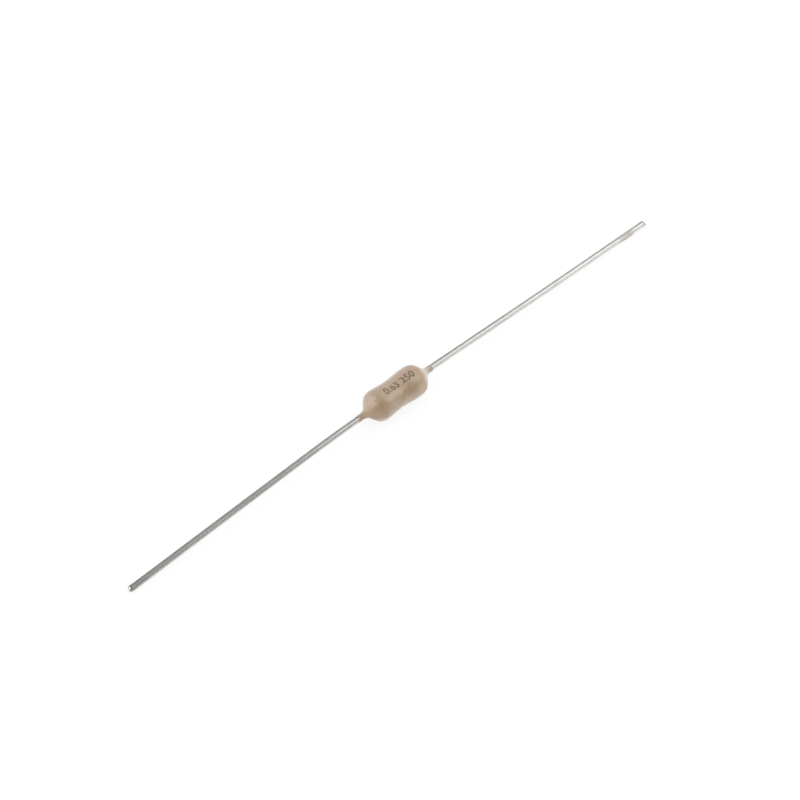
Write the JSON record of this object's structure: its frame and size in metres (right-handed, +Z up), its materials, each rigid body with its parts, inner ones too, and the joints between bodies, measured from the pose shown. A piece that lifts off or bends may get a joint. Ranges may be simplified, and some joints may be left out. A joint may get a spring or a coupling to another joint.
{
  "type": "axial-lead fuse",
  "caption": "Small axial fuse: a ceramic tube with end caps and a fine fuse wire, dipped in beige epoxy, with a long tinned wire lead at each end.",
  "frame": {"origin": "On the table that the fuse lies on, below the fuse's axis, midway between the two lead tips. The middle of the coated body is 1.4 mm to the left of it, because the right lead is longer.", "axes": "+X along the fuse's axis, from the short left lead to the long right lead; +Z up from the table; both leads lean slightly towards +Y"},
  "size_m": [0.0652, 0.0028, 0.0028],
  "materials": {
    "epoxy": "satin",
    "ceramic": "matte",
    "cap_metal": "satin",
    "solder": "satin",
    "fuse_wire": "polished",
    "lead_wire": "satin"
  },
  "bodies": {
    "root": {"coating": "epoxy", "ceramic_tube": "ceramic", "end_cap_left": "cap_metal", "end_cap_right": "cap_metal", "solder_left": "solder", "solder_right": "solder", "fuse_element": "fuse_wire", "lead_left": "lead_wire", "lead_right": "lead_wire"}
  },
  "joints": []
}
